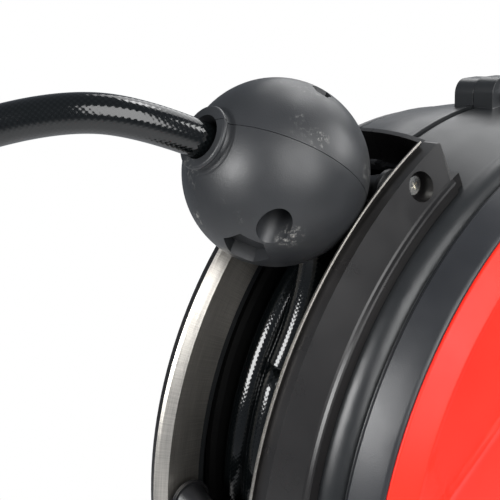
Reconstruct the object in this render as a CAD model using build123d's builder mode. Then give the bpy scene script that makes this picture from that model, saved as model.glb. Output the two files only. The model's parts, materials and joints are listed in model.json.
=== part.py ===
from build123d import *

import os
from math import cos, pi, radians, sin, tan

# Wall-mounted spring-rewind hose reel in a round moulded case.
# Row frame, mm: +Z up, wall at Y = 0, the hose leaves towards -Y, the case axis runs along X.
# The origin is the centre of the wall plate's back face.

os.makedirs("parts", exist_ok=True)

# ---------------------------------------------------------------- driving dimensions
HOSE_D = 18.0  # half-inch bore reinforced hose, outside
RIM_R = 240.0  # raised frame round the slot
BARREL_R = 219.0  # case at its middle
CROWN = ((34.0, 216.4), (55.0, 213.2))  # (x, radius): its fall towards each shoulder
WALL = 3.8  # moulded wall
HALF_WIDTH = 66.0  # inside face of the case's side wall
HINGE_Y = -85.0  # swivel axis, off the wall
HINGE_TO_CASE = 250.0  # swivel axis to case axis
SLOT_HALF = 36.8  # half the width of the slot between the two rails
SLOT_START = -3.0  # slot, degrees up from straight ahead
SLOT_END = 58.4
END_WALL = 0.8  # thickness of the slot's end walls, degrees
BALL_R = 47.3
BALL_ORBIT = 268.9  # ball centre from the case axis, resting on the strips
BALL_ANGLE = 45.1
EXIT_ANGLE = 25.0  # hose above level where it leaves the ball
SHELL_GAP = 0.15  # half the gap left at a seam
AXLE_R = 13.0
FLANGE_R = 200.0
HUB_R = 76.0
PACK_R = 181.0  # outside of the wound hose
LEAD_R = 190.5  # centreline of the outermost turn
LEAD_ANGLE = 24.0  # where that turn lets go of the drum
LEAD_X = -12.0
LEAD_BEND = 51.0
RATCHET_TEETH = 12
PIN_R = 6.0  # swivel pin
KNUCKLE_H = 120.0

CASE_Y = HINGE_Y - HINGE_TO_CASE
CASE_AXIS = Axis((0, CASE_Y, 0), (1, 0, 0))
UPWARD_AXIS = Axis((0, CASE_Y, 0), (-1, 0, 0))  # turns from straight ahead upwards
LUG_ANGLES = (86, 128, 232, 276, 322)
LUG_R = 226.0
LUG_WIDTH = 14.0
BEZEL_SCREW_ANGLES = (53.2, -1.2)
BEZEL_SCREW_R = 230.9


# ---------------------------------------------------------------- planes and helpers
def around(angle):
    """Half-plane through the case axis: local x is X, local y runs outwards at this angle."""
    a = radians(angle)
    return Plane(origin=(0, CASE_Y, 0), x_dir=(1, 0, 0), z_dir=(0, -sin(a), -cos(a)))


def side(x):
    """Plane across the case axis: local x is ahead, local y is up, and it faces -X."""
    return Plane(origin=(x, CASE_Y, 0), x_dir=(0, -1, 0), z_dir=(-1, 0, 0))


def polar(radius, angle):
    """Local point on a side() plane."""
    return (radius * cos(radians(angle)), radius * sin(radians(angle)))


def spot(x, radius, angle):
    """Row-frame point at this radius and angle about the case axis."""
    a = radians(angle)
    return Vector(x, CASE_Y - radius * cos(a), radius * sin(a))


def save(piece, name):
    piece.part.label = name
    export_step(piece.part, f"parts/{name}.step")


def turned(points, plane, arc=360.0, axis=UPWARD_AXIS):
    """Solid turned from an outline given as (x, radius) points."""
    with BuildPart() as ring:
        with BuildSketch(plane):
            with BuildLine():
                Polyline(*points, close=True)
            make_face()
        revolve(axis=axis, revolution_arc=arc)
    return ring.part


# ---------------------------------------------------------------- wall bracket
PLATE_T = 5.0
PLATE_W = 130.0
PLATE_H = 230.0
BOLT_X = 90.0
BOLT_Z = 190.0
BOLT_HOLE_R = 4.5
ARM_T = 5.0
ARM_NOSE = 19.0
WASHER_T = 1.5
ARM_Z = KNUCKLE_H / 2 + WASHER_T + 0.2

with BuildPart() as wall_plate:
    with BuildSketch(Plane.XZ):
        RectangleRounded(PLATE_W, PLATE_H, 14)
        with GridLocations(BOLT_X, BOLT_Z, 2, 2):
            Circle(BOLT_HOLE_R, mode=Mode.SUBTRACT)
    extrude(amount=PLATE_T)
    chamfer(wall_plate.faces().sort_by(Axis.Y)[0].outer_wire().edges(), 1.2)
save(wall_plate, "wall_plate")


def bracket_arm(level, up):
    """One arm: a level plate with a rounded nose, and two gussets on its outer side."""
    with BuildPart() as arm:
        with BuildSketch(Plane.XY.offset(level)):
            with BuildLine():
                Polyline(
                    (-ARM_NOSE, HINGE_Y),
                    (-44, -PLATE_T - 0.05),
                    (44, -PLATE_T - 0.05),
                    (ARM_NOSE, HINGE_Y),
                )
                ThreePointArc((ARM_NOSE, HINGE_Y), (0, HINGE_Y - ARM_NOSE), (-ARM_NOSE, HINGE_Y))
            make_face()
            with Locations((0, HINGE_Y)):
                Circle(PIN_R + 0.1, mode=Mode.SUBTRACT)
        extrude(amount=ARM_T * up)
        for x in (-24, 20):
            with BuildSketch(Plane.YZ.offset(x)):
                with BuildLine():
                    Polyline(
                        (-PLATE_T - 0.05, level),
                        (-PLATE_T - 0.05, level + 46 * up),
                        (-14, level + 46 * up),
                        (-62, level + 8 * up),
                        (-62, level),
                        close=True,
                    )
                make_face()
            extrude(amount=4)
    return arm


save(bracket_arm(ARM_Z, 1), "bracket_arm_upper")
save(bracket_arm(-ARM_Z, -1), "bracket_arm_lower")

PIN_TOP = ARM_Z + ARM_T
PIN_BOTTOM = -ARM_Z - ARM_T - 12
with BuildPart(Plane((0, HINGE_Y, PIN_BOTTOM))) as hinge_pin:
    Cylinder(PIN_R, PIN_TOP - PIN_BOTTOM, align=(Align.CENTER, Align.CENTER, Align.MIN))
    with Locations((0, 0, PIN_TOP - PIN_BOTTOM)):
        Cylinder(11, 5, align=(Align.CENTER, Align.CENTER, Align.MIN))
    with Locations(Location((0, 0, 5), (0, 90, 0))):
        Cylinder(1.6, 20, mode=Mode.SUBTRACT)
    fillet(hinge_pin.edges().group_by(Axis.Z)[-1], 1.6)
save(hinge_pin, "hinge_pin")

with BuildPart() as hinge_pin_clip:
    with BuildLine(Plane.XY.offset(PIN_BOTTOM + 5)) as clip_line:
        FilletPolyline((-16, HINGE_Y), (17, HINGE_Y), (17, HINGE_Y - 11), (-10, HINGE_Y - 11), radius=4)
    with BuildSketch(Plane(origin=clip_line.wire() @ 0, z_dir=clip_line.wire() % 0)):
        Circle(1.4)
    sweep()
save(hinge_pin_clip, "hinge_pin_clip")

with BuildPart() as swivel_washers:
    for z in (KNUCKLE_H / 2 + 0.1, -KNUCKLE_H / 2 - 0.1 - WASHER_T):
        with BuildSketch(Plane.XY.offset(z)):
            with Locations((0, HINGE_Y)):
                Circle(15)
                Circle(PIN_R + 0.1, mode=Mode.SUBTRACT)
        extrude(amount=WASHER_T)
save(swivel_washers, "swivel_washers")

# ---------------------------------------------------------------- case halves
SEAT_X = HALF_WIDTH + 4.0  # outside face of the side wall
INNER_R = BARREL_R - WALL
GROOVE = 1.3
BAND_R = BARREL_R + 1.1


def lug_bolts(radius, mode):
    for angle in LUG_ANGLES:
        with Locations(polar(LUG_R, angle)):
            Circle(radius, mode=mode)


def case_half(sign):
    """One moulded half; sign is +1 for the +X half. The -X half carries the seam's raised band."""
    with BuildPart() as half:
        with BuildSketch(side(LUG_WIDTH * sign)):
            for angle in LUG_ANGLES:
                with Locations(Location((*polar(LUG_R - 4.5, angle), 0), (0, 0, angle))):
                    RectangleRounded(28 + sign, 30, 9)
            lug_bolts(3.2, Mode.SUBTRACT)
        extrude(amount=(LUG_WIDTH - SHELL_GAP) * sign)
        with BuildSketch(side(LUG_WIDTH * sign)):
            Circle(INNER_R + 0.5)
        extrude(amount=LUG_WIDTH * sign, mode=Mode.SUBTRACT)
        with BuildSketch(around(90)):
            with BuildLine():
                if sign > 0:
                    seam = [(SHELL_GAP, BARREL_R - GROOVE), (2.6, BARREL_R - GROOVE), (3.6, BARREL_R)]
                else:
                    seam = [(-SHELL_GAP, BAND_R), (-4.0, BAND_R), (-4.6, BARREL_R - GROOVE), (-5.8, BARREL_R)]
                Polyline(*seam)
                ThreePointArc(seam[-1], (20 * sign, BARREL_R - 0.9), (CROWN[0][0] * sign, CROWN[0][1]))
                Line((CROWN[0][0] * sign, CROWN[0][1]), (CROWN[1][0] * sign, CROWN[1][1]))
                ThreePointArc((CROWN[1][0] * sign, CROWN[1][1]), (63.6 * sign, 210.8), (67.4 * sign, 206.5))
                Polyline(
                    (67.4 * sign, 206.5),
                    (SEAT_X * sign, 206.5),
                    (SEAT_X * sign, 26),
                    ((SEAT_X + 5) * sign, 26),
                    ((SEAT_X + 5) * sign, AXLE_R + 0.1),
                    ((HALF_WIDTH - 5) * sign, AXLE_R + 0.1),
                    ((HALF_WIDTH - 5) * sign, 26),
                    (HALF_WIDTH * sign, 26),
                    (HALF_WIDTH * sign, 201),
                )
                ThreePointArc((HALF_WIDTH * sign, 201), (62.6 * sign, 206.6), (54 * sign, CROWN[1][1] - WALL))
                Polyline(
                    (54 * sign, CROWN[1][1] - WALL),
                    (CROWN[0][0] * sign, CROWN[0][1] - WALL),
                    (SHELL_GAP * sign, INNER_R),
                    seam[0],
                )
            make_face()
        revolve(axis=CASE_AXIS)
        with BuildSketch(around(SLOT_START - END_WALL)):
            with Locations((SLOT_HALF / 2 * sign, RIM_R - 20)):
                Rectangle(SLOT_HALF, 50)
        revolve(axis=UPWARD_AXIS, revolution_arc=SLOT_END - SLOT_START + 2 * END_WALL, mode=Mode.SUBTRACT)
        for rib in range(12):
            with BuildSketch(side(SEAT_X * sign)):
                with Locations(Location((*polar(105, 30 * rib + 15), 0), (0, 0, 30 * rib + 15))):
                    Rectangle(150, 3)
            extrude(amount=-8 * sign)
    return half


save(case_half(1), "case_half_right")
save(case_half(-1), "case_half_left")

with BuildPart() as case_bolts:
    with BuildSketch(side(LUG_WIDTH + 4)):
        lug_bolts(5.2, Mode.ADD)
    extrude(amount=4 - 0.05)
    with BuildSketch(side(LUG_WIDTH + 4)):
        lug_bolts(3.0, Mode.ADD)
    extrude(amount=2 * LUG_WIDTH + 10)
    with BuildSketch(side(LUG_WIDTH + 4)):
        for angle in LUG_ANGLES:
            with Locations(polar(LUG_R, angle)):
                RegularPolygon(2.9, 6)
    extrude(amount=2.4, mode=Mode.SUBTRACT)
save(case_bolts, "case_bolts")

with BuildPart() as case_nuts:
    with BuildSketch(side(-LUG_WIDTH - 0.05)):
        for angle in LUG_ANGLES:
            with Locations(polar(LUG_R, angle)):
                RegularPolygon(5.6, 6)
                Circle(3.05, mode=Mode.SUBTRACT)
    extrude(amount=5)
save(case_nuts, "case_nuts")

# ---------------------------------------------------------------- frame round the slot
RAIL_TOP = 48.6  # outer edge of the rim face
RAIL_FOOT = 53.8
POCKET_R = 7.6
CORNER_R = 2.2
END_BOW = 5.5  # the end walls arch outwards by this much at the middle
END_THICK = 3.0
POCKET_FLOOR = 43.6
RAIL_SEAT = 0.3  # rail underside above the case
rail_outline = [
    (SLOT_HALF, CROWN[0][1] - 0.4 + RAIL_SEAT),
    (SLOT_HALF, RIM_R - 3.4),
    (SLOT_HALF + 2.7, RIM_R),
    (RAIL_TOP, RIM_R),
    (RAIL_FOOT, 221.8),
    (54.6, 221.0),
    (56.2, 220.4),
    (56.6, 219.4),
    (56.2, CROWN[1][1] + RAIL_SEAT),
    (CROWN[1][0], CROWN[1][1] + RAIL_SEAT),
]

LIP_R = 221.3  # above the narrow foot lip
END_CUT = [(RAIL_TOP, 0.0), (RAIL_TOP, 4.0), (62.0, 4.0), (62.0, -18.0)]  # slants the ends of the rails
LIP_CUT = [(54.2, 4.0), (62.0, 4.0), (62.0, -9.0), (54.2, -5.5)]
END_REACH = SLOT_HALF + 2.6  # the end walls run into the rails


def end_wall(sign, angle, way):
    """Half of the arched wall that closes the slot at this angle; way is +1 at the slot's upper end."""
    foot = (BARREL_R if sign > 0 else BAND_R) + RAIL_SEAT
    a = radians(angle)
    tangent = Plane(
        origin=spot(0, BARREL_R, angle), x_dir=(1, 0, 0), z_dir=Vector(0, -cos(a), sin(a))
    )
    inner = [(SHELL_GAP * sign, END_BOW * way), (END_REACH / 2 * sign, END_BOW * 0.75 * way), (END_REACH * sign, 0)]
    outer = [(x, y + END_THICK * way) for x, y in inner]
    with BuildPart() as wall:
        with BuildSketch(tangent.offset(-20)):
            with BuildLine():
                ThreePointArc(*inner)
                Line(inner[2], outer[2])
                ThreePointArc(*outer)
                Line(outer[0], inner[0])
            make_face()
        extrude(amount=60)
        with BuildSketch(around(angle - 8)):
            with BuildLine():
                Polyline(
                    (SHELL_GAP * sign, foot),
                    (7.0 * sign, foot),
                    (20.0 * sign, BARREL_R - 0.9 + RAIL_SEAT),
                    (CROWN[0][0] * sign, CROWN[0][1] + RAIL_SEAT),
                    (END_REACH * sign, CROWN[0][1] + RAIL_SEAT),
                    (END_REACH * sign, RIM_R),
                    (SHELL_GAP * sign, RIM_R),
                    close=True,
                )
            make_face()
        revolve(axis=UPWARD_AXIS, revolution_arc=16, mode=Mode.INTERSECT)
    return wall.part


def slot_rail(sign):
    """Half of the frame: a rail beside the slot, and half of the wall at each end of the slot."""
    with BuildPart() as rail:
        with BuildSketch(around(SLOT_START - END_WALL)):
            with BuildLine():
                Polyline(*[(x * sign, r) for x, r in rail_outline], close=True)
            make_face()
        revolve(axis=UPWARD_AXIS, revolution_arc=SLOT_END - SLOT_START + 2 * END_WALL)
        for angle in (SLOT_START - END_WALL, SLOT_END + END_WALL):
            corner = spot((SLOT_HALF + RAIL_TOP) / 2 * sign, RIM_R, angle)
            fillet(rail.edges().filter_by(Axis.X).sort_by_distance(corner)[0], CORNER_R)
        for angle, way in ((SLOT_START - END_WALL, -1), (SLOT_END + END_WALL, 1)):
            a = radians(angle)
            tangent = Plane(origin=spot(0, LIP_R, angle), x_dir=(1, 0, 0), z_dir=Vector(0, -cos(a), sin(a)))
            with BuildSketch(tangent):
                with BuildLine():
                    Polyline(*[(x * sign, y * way) for x, y in END_CUT], close=True)
                make_face()
            extrude(amount=30, mode=Mode.SUBTRACT)
            with BuildSketch(tangent.offset(-15)):
                with BuildLine():
                    Polyline(*[(x * sign, y * way) for x, y in LIP_CUT], close=True)
                make_face()
            extrude(amount=30, mode=Mode.SUBTRACT)
            add(end_wall(sign, angle - END_WALL * way, way))
        for angle in BEZEL_SCREW_ANGLES:
            with BuildSketch(side(60 * sign)):
                with Locations(polar(BEZEL_SCREW_R, angle)):
                    Circle(POCKET_R)
            extrude(amount=(60 - POCKET_FLOOR) * sign, mode=Mode.SUBTRACT)
            with BuildSketch(side(60 * sign)):
                with Locations(polar(BEZEL_SCREW_R, angle)):
                    Circle(2.6)
            extrude(amount=(60 - SLOT_HALF + 1) * sign, mode=Mode.SUBTRACT)
    return rail


save(slot_rail(1), "slot_frame_right")
save(slot_rail(-1), "slot_frame_left")

strip_outline = [
    (35.4, 216.6),
    (SLOT_HALF - 0.2, 216.6),
    (SLOT_HALF - 0.2, RIM_R - 3.1),
    (38.0, RIM_R - 1.1),
    (39.9, RIM_R + 1.2),
    (41.4, RIM_R + 2.0),
    (41.2, RIM_R + 2.9),
    (39.3, RIM_R + 1.9),
    (37.2, RIM_R - 0.9),
    (35.4, RIM_R - 3.0),
]
STRIP_START = SLOT_START + 0.4
STRIP_ARC = SLOT_END - SLOT_START - 0.8
for name, sign in (("guide_strip_right", 1), ("guide_strip_left", -1)):
    with BuildPart() as strip:
        add(turned([(x * sign, r) for x, r in strip_outline], around(STRIP_START), STRIP_ARC))
    save(strip, name)

with BuildPart() as frame_screws:
    for sign in (1, -1):
        for angle in BEZEL_SCREW_ANGLES:
            at = polar(BEZEL_SCREW_R, angle)
            with BuildSketch(side((POCKET_FLOOR + 0.05) * sign)):
                with Locations(at):
                    Circle(4.8)
            extrude(amount=-2.8 * sign)
            with BuildSketch(side((POCKET_FLOOR + 0.05) * sign)):
                with Locations(at):
                    Circle(2.5)
            extrude(amount=(POCKET_FLOOR - SLOT_HALF) * sign)
            with BuildSketch(side((POCKET_FLOOR + 2.85) * sign)):
                with Locations(Location((*at, 0), (0, 0, angle))):
                    Rectangle(4.6, 1.0)
                    Rectangle(1.0, 4.6)
            extrude(amount=1.4 * sign, mode=Mode.SUBTRACT)
save(frame_screws, "frame_screws")

# ---------------------------------------------------------------- side rings and covers
COVER_R = 201.8
ring_outline = [
    (SEAT_X + 0.1, 209.0),
    (SEAT_X + 1.6, 210.0),
    (85.6, 205.0),
    (87.4, 203.4),
    (87.4, 202.2),
    (80.0, 202.2),
    (80.0, 192.0),
    (SEAT_X + 0.1, 192.0),
]
DISH_R = 58.0
DISH_X = 95.0
cover_outline = [
    (80.2, 201.8),
    (88.2, 201.8),
    (93.6, 190.0),
    (94.9, 188.6),
    (95.0, 187.0),
    (99.4, 150.0),
    (102.8, 110.0),
    (104.2, DISH_R + 8),
    (103.4, DISH_R + 2),
    (DISH_X, DISH_R - 4),
    (DISH_X, 0),
    (DISH_X - 3.4, 0),
    (DISH_X - 3.4, DISH_R - 2),
    (100.2, DISH_R + 4),
    (99.2, 110.0),
    (95.8, 150.0),
    (91.4, 187.0),
    (85.0, 198.0),
    (84.0, 198.4),
    (80.2, 198.4),
]
COVER_SCREW_R = 46.0
INLET_HOLE_R = 19.0

for name, sign in (("side_ring_right", 1), ("side_ring_left", -1)):
    with BuildPart() as ring:
        add(turned([(x * sign, r) for x, r in ring_outline], around(90)))
    save(ring, name)


def side_cover(sign):
    """Domed cover with a raised line near its edge; the -X one is open for the water inlet."""
    with BuildPart() as cover:
        with BuildSketch(around(90)):
            with BuildLine():
                Polyline(*[(x * sign, r) for x, r in cover_outline], close=True)
            make_face()
        revolve(axis=CASE_AXIS)
        if sign < 0:
            with BuildSketch(side(-110)):
                Circle(INLET_HOLE_R)
            extrude(amount=-30, mode=Mode.SUBTRACT)
        with BuildSketch(side(110 * sign)):
            with PolarLocations(COVER_SCREW_R, 4, start_angle=45):
                Circle(2.2)
        extrude(amount=30 * sign, mode=Mode.SUBTRACT)
    return cover


save(side_cover(1), "side_cover_right")
save(side_cover(-1), "side_cover_left")

with BuildPart() as cover_screws:
    for sign in (1, -1):
        for radius, length in ((4.4, 2.2), (2.1, -(DISH_X - SEAT_X - 8.2))):
            with BuildSketch(side((DISH_X + 0.05) * sign)):
                with PolarLocations(COVER_SCREW_R, 4, start_angle=45):
                    Circle(radius)
            extrude(amount=-length * sign)
save(cover_screws, "cover_screws")

# ---------------------------------------------------------------- swivel block behind the case
BLOCK_W = 56.0
BLOCK_BACK = HINGE_Y - 29
BLOCK_SCREW_X = 38.0
BLOCK_SCREW_Z = 80.0
with BuildPart() as swivel_block:
    with BuildSketch(Plane.XY.offset(-KNUCKLE_H / 2)):
        with Locations((0, HINGE_Y)):
            Circle(16)
        with Locations((0, HINGE_Y - 24)):
            Rectangle(22, 48)
    extrude(amount=KNUCKLE_H)
    with BuildSketch(Plane.XY.offset(-KNUCKLE_H / 2)):
        with Locations((0, BLOCK_BACK - 17)):
            Rectangle(BLOCK_W, 34)
    extrude(amount=KNUCKLE_H)
    with BuildSketch(side(40)):
        Circle(BARREL_R + 1.9)
    extrude(amount=80, mode=Mode.SUBTRACT)
    with BuildSketch(Plane.XY.offset(-KNUCKLE_H / 2)):
        with Locations((0, HINGE_Y)):
            Circle(PIN_R + 0.08)
    extrude(amount=KNUCKLE_H, mode=Mode.SUBTRACT)
    with BuildSketch(Plane.XZ.offset(-BLOCK_BACK)):
        with GridLocations(BLOCK_SCREW_X, BLOCK_SCREW_Z, 2, 2):
            Circle(2.7)
    extrude(amount=20, mode=Mode.SUBTRACT)
save(swivel_block, "swivel_block")

with BuildPart() as block_screws:
    with BuildSketch(Plane.XZ.offset(-BLOCK_BACK - 0.05)):
        with GridLocations(BLOCK_SCREW_X, BLOCK_SCREW_Z, 2, 2):
            Circle(5)
    extrude(amount=-3.5)
    with BuildSketch(Plane.XZ.offset(-BLOCK_BACK - 0.05)):
        with GridLocations(BLOCK_SCREW_X, BLOCK_SCREW_Z, 2, 2):
            Circle(2.5)
    extrude(amount=3.5)
save(block_screws, "block_screws")

# ---------------------------------------------------------------- axle and inlet swivel
AXLE_LEFT = -114.0
AXLE_RIGHT = 84.0
AXLE_BORE_R = 7.0
BORE_END_X = -10.0
OUTLET_X = -27.0  # where the water leaves the axle for the hose
with BuildPart() as axle:
    with BuildSketch(side(AXLE_RIGHT)):
        Circle(AXLE_R)
    extrude(amount=AXLE_RIGHT - AXLE_LEFT)
    with BuildSketch(side(BORE_END_X)):
        Circle(AXLE_BORE_R)
    extrude(amount=BORE_END_X - AXLE_LEFT, mode=Mode.SUBTRACT)
    with BuildSketch(Plane(origin=(OUTLET_X, CASE_Y, 0))):
        Circle(4)
    extrude(amount=AXLE_R + 1, both=True, mode=Mode.SUBTRACT)
save(axle, "axle")

with BuildPart() as axle_nuts:
    for x, way in ((SEAT_X + 5.05, -1), (-SEAT_X - 5.05, 1)):
        with BuildSketch(side(x)):
            RegularPolygon(19, 6)
            Circle(AXLE_R + 0.05, mode=Mode.SUBTRACT)
        extrude(amount=8 * way)
save(axle_nuts, "axle_nuts")

PORT_X = -122.0
PORT_END = -50.0
PORT_THREAD_R = 10.48  # half-inch pipe thread
PORT_THREAD_L = 14.0
PORT_HEX_L = 8.0
PORT_BORE_R = 6.2
ELBOW_R = 18.5
ELBOW_FACE_X = -99.0
ELBOW_END_X = -135.0
with BuildPart() as inlet_elbow:
    with BuildSketch(side(ELBOW_FACE_X)):
        Circle(ELBOW_R)
    extrude(amount=ELBOW_FACE_X - ELBOW_END_X)
    chamfer(inlet_elbow.faces().sort_by(Axis.X)[0].outer_wire().edges(), 2.5)
    with BuildSketch(Plane(origin=(PORT_X, CASE_Y, PORT_END))):
        Circle(PORT_THREAD_R)
    extrude(amount=PORT_THREAD_L)
    with BuildSketch(Plane(origin=(PORT_X, CASE_Y, PORT_END + PORT_THREAD_L))):
        RegularPolygon(14, 6)
    extrude(amount=PORT_HEX_L)
    with BuildSketch(Plane(origin=(PORT_X, CASE_Y, PORT_END + PORT_THREAD_L + PORT_HEX_L))):
        Circle(10.6)
    extrude(amount=18)
    with BuildSketch(side(ELBOW_FACE_X + 1)):
        Circle(AXLE_R + 0.06)
    extrude(amount=ELBOW_FACE_X + 1 - AXLE_LEFT + 0.5, mode=Mode.SUBTRACT)
    with BuildSketch(side(AXLE_LEFT)):
        Circle(PORT_BORE_R)
    extrude(amount=AXLE_LEFT - PORT_X + PORT_BORE_R, mode=Mode.SUBTRACT)
    with BuildSketch(Plane(origin=(PORT_X, CASE_Y, PORT_END - 1))):
        Circle(PORT_BORE_R)
    extrude(amount=-PORT_END + 1, mode=Mode.SUBTRACT)
save(inlet_elbow, "inlet_elbow")

# ---------------------------------------------------------------- drum
DRUM_HALF = 46.5  # inside face of each flange
FLANGE_T = 3.0
BUSH_R = 17.0
BUSH_BORE_R = AXLE_R + 0.06
SPRING_X = (12.0, 44.0)

HUB_WALL = 6.0
HUB_WEB_R = BUSH_R + 8
WINDOWS = 6
FLANGE_SCREW_AT = 73.0
FLANGE_SCREW_HOLE_R = 1.55
FLANGE_SCREW_L = 9.0

drum_hub_outline = [
    (-DRUM_HALF, HUB_R),
    (DRUM_HALF, HUB_R),
    (DRUM_HALF, HUB_R - HUB_WALL),
    (-DRUM_HALF, HUB_R - HUB_WALL),
]
with BuildPart() as drum_hub:
    add(turned(drum_hub_outline, around(90)))
    add(turned([(-8, HUB_R - 3), (-4, HUB_R - 3), (-4, HUB_WEB_R), (-8, HUB_WEB_R)], around(90)))
    with BuildSketch(Plane(origin=(OUTLET_X, CASE_Y, 50))):
        Circle(8.1)
    extrude(amount=40, mode=Mode.SUBTRACT)
    for sign in (1, -1):
        with BuildSketch(side(DRUM_HALF * sign)):
            with PolarLocations(FLANGE_SCREW_AT, WINDOWS):
                Circle(FLANGE_SCREW_HOLE_R)
        extrude(amount=FLANGE_SCREW_L * sign, mode=Mode.SUBTRACT)
save(drum_hub, "drum_hub")


def drum_flange(sign):
    """Pressed flange with lightening windows, a rolled edge and a bushing boss."""
    inner = DRUM_HALF + 0.05
    outer = inner + FLANGE_T
    with BuildPart() as flange:
        outline = [
            (inner, BUSH_R + 0.05),
            (inner - 6, BUSH_R + 0.05),
            (inner - 6, BUSH_R + 6),
            (inner, BUSH_R + 6),
            (inner, FLANGE_R - 4),
            (inner + 1, FLANGE_R),
            (outer + 2, FLANGE_R),
            (outer + 2, FLANGE_R - 3),
            (outer, FLANGE_R - 4),
            (outer, BUSH_R + 0.05),
        ]
        add(turned([(x * sign, r) for x, r in outline], around(90)))
        with BuildSketch(side((outer + 1) * sign)):
            with PolarLocations(0, WINDOWS):
                SlotArc(CenterArc((0, 0), 150, 12, 36, mode=Mode.PRIVATE), 44)
            with PolarLocations(FLANGE_SCREW_AT, WINDOWS):
                Circle(FLANGE_SCREW_HOLE_R)
        extrude(amount=8 * sign, mode=Mode.SUBTRACT)
    return flange


save(drum_flange(1), "drum_flange_right")
save(drum_flange(-1), "drum_flange_left")

with BuildPart() as hub_bushings:
    for x in (DRUM_HALF + FLANGE_T, -DRUM_HALF + 6):
        with BuildSketch(side(x)):
            Circle(BUSH_R)
            Circle(BUSH_BORE_R, mode=Mode.SUBTRACT)
        extrude(amount=9)
save(hub_bushings, "hub_bushings")

manifold_outline = [
    (-38, 16.6),
    (-38, 24),
    (-16, 24),
    (-16, 16.6),
    (-19, 16.6),
    (-19, BUSH_BORE_R),
    (-35, BUSH_BORE_R),
    (-35, 16.6),
]
with BuildPart() as hub_manifold:
    add(turned(manifold_outline, around(90)))
    with BuildSketch(Plane(origin=(OUTLET_X, CASE_Y, 10))):
        Circle(5)
    extrude(amount=20, mode=Mode.SUBTRACT)
save(hub_manifold, "hub_manifold")

with BuildPart() as manifold_seals:
    for x in (-16.1, -35.1):
        with BuildSketch(side(x)):
            Circle(16.5)
            Circle(BUSH_BORE_R + 0.02, mode=Mode.SUBTRACT)
        extrude(amount=2.8)
save(manifold_seals, "manifold_seals")

with BuildPart() as hub_outlet:
    with BuildSketch(Plane(origin=(OUTLET_X, CASE_Y, 24.1))):
        Circle(8)
        Circle(5, mode=Mode.SUBTRACT)
    extrude(amount=HUB_R - 25.2)
    with BuildSketch(Plane(origin=(OUTLET_X, CASE_Y, 28))):
        RegularPolygon(11, 6)
        Circle(7.9, mode=Mode.SUBTRACT)
    extrude(amount=9)
save(hub_outlet, "hub_outlet")

housing_outline = [
    (10, 24),
    (10, 69),
    (DRUM_HALF - 0.1, 69),
    (DRUM_HALF - 0.1, 66.8),
    (12, 66.8),
    (12, 24),
]
with BuildPart() as spring_housing:
    add(turned(housing_outline, around(90)))
save(spring_housing, "spring_housing")

SPRING_TURNS = 9
SPRING_IN = 24.0
SPRING_OUT = 64.0
SPRING_STRIP = 1.3
SPRING_STEPS = 16


def spiral(offset):
    """Points of the coiled strip's inner or outer face."""
    count = SPRING_TURNS * SPRING_STEPS
    grow = (SPRING_OUT - SPRING_IN) / count
    return [polar(SPRING_IN + grow * i + offset, 360 * i / SPRING_STEPS) for i in range(count + 1)]


with BuildPart() as power_spring:
    with BuildSketch(side(SPRING_X[1])):
        with BuildLine():
            inner_face = Spline(*spiral(0))
            outer_face = Spline(*spiral(SPRING_STRIP))
            Line(inner_face @ 0, outer_face @ 0)
            Line(inner_face @ 1, outer_face @ 1)
        make_face()
    extrude(amount=SPRING_X[1] - SPRING_X[0] - 1)
save(power_spring, "power_spring")

with BuildPart() as spring_arbor:
    with BuildSketch(side(SPRING_X[1] - 6)):
        Circle(22)
        Circle(AXLE_R + 0.05, mode=Mode.SUBTRACT)
    extrude(amount=22)
save(spring_arbor, "spring_arbor")

TOOTH_TIP_R = 68.0
TOOTH_ROOT_R = 60.0
TOOTH_START = 90.5
RATCHET_X = DRUM_HALF + FLANGE_T + 2.2
RATCHET_T = 5.6
ratchet_points = []
for tooth in range(RATCHET_TEETH):
    tip = TOOTH_START + 360 * tooth / RATCHET_TEETH
    ratchet_points.append(polar(TOOTH_TIP_R, tip))
    ratchet_points.append(polar(TOOTH_ROOT_R, tip + 1))
    ratchet_points.append(polar(TOOTH_ROOT_R + 2.4, tip + 11))
with BuildPart() as ratchet_ring:
    with BuildSketch(side(DRUM_HALF + FLANGE_T + 0.1)):
        with BuildLine():
            Polyline(*ratchet_points, close=True)
        make_face()
        Circle(46, mode=Mode.SUBTRACT)
    extrude(amount=-RATCHET_T - 2)
save(ratchet_ring, "ratchet_ring")

with BuildPart() as flange_screws:
    for sign in (1, -1):
        for radius, length in ((4.0, -1.6), (FLANGE_SCREW_HOLE_R - 0.05, FLANGE_SCREW_L)):
            with BuildSketch(side((DRUM_HALF + FLANGE_T + 0.1) * sign)):
                with PolarLocations(FLANGE_SCREW_AT, WINDOWS):
                    Circle(radius)
            extrude(amount=length * sign)
save(flange_screws, "flange_screws")

with BuildPart() as hose_pack:
    with BuildSketch(side(DRUM_HALF - 0.5)):
        Circle(PACK_R)
        Circle(HUB_R + 0.2, mode=Mode.SUBTRACT)
    extrude(amount=2 * DRUM_HALF - 1)
save(hose_pack, "hose_pack")

# ---------------------------------------------------------------- pawl
PAWL_PIVOT = (30.0, 84.0)
PAWL_X = RATCHET_X + RATCHET_T - 0.6
with BuildPart() as pawl:
    with BuildSketch(side(PAWL_X)):
        with BuildLine():
            Polyline(
                (30, 90),
                (-10, 88),
                (-13, 84),
                (-13, 72),
                (-11, 70.6),
                (-6.5, 70.6),
                (-6.5, 78.6),
                (-2, 80),
                (30, 78),
                close=True,
            )
        make_face()
        with Locations(PAWL_PIVOT):
            Circle(6)
            Circle(3.06, mode=Mode.SUBTRACT)
    extrude(amount=4.6)
save(pawl, "pawl")

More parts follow.
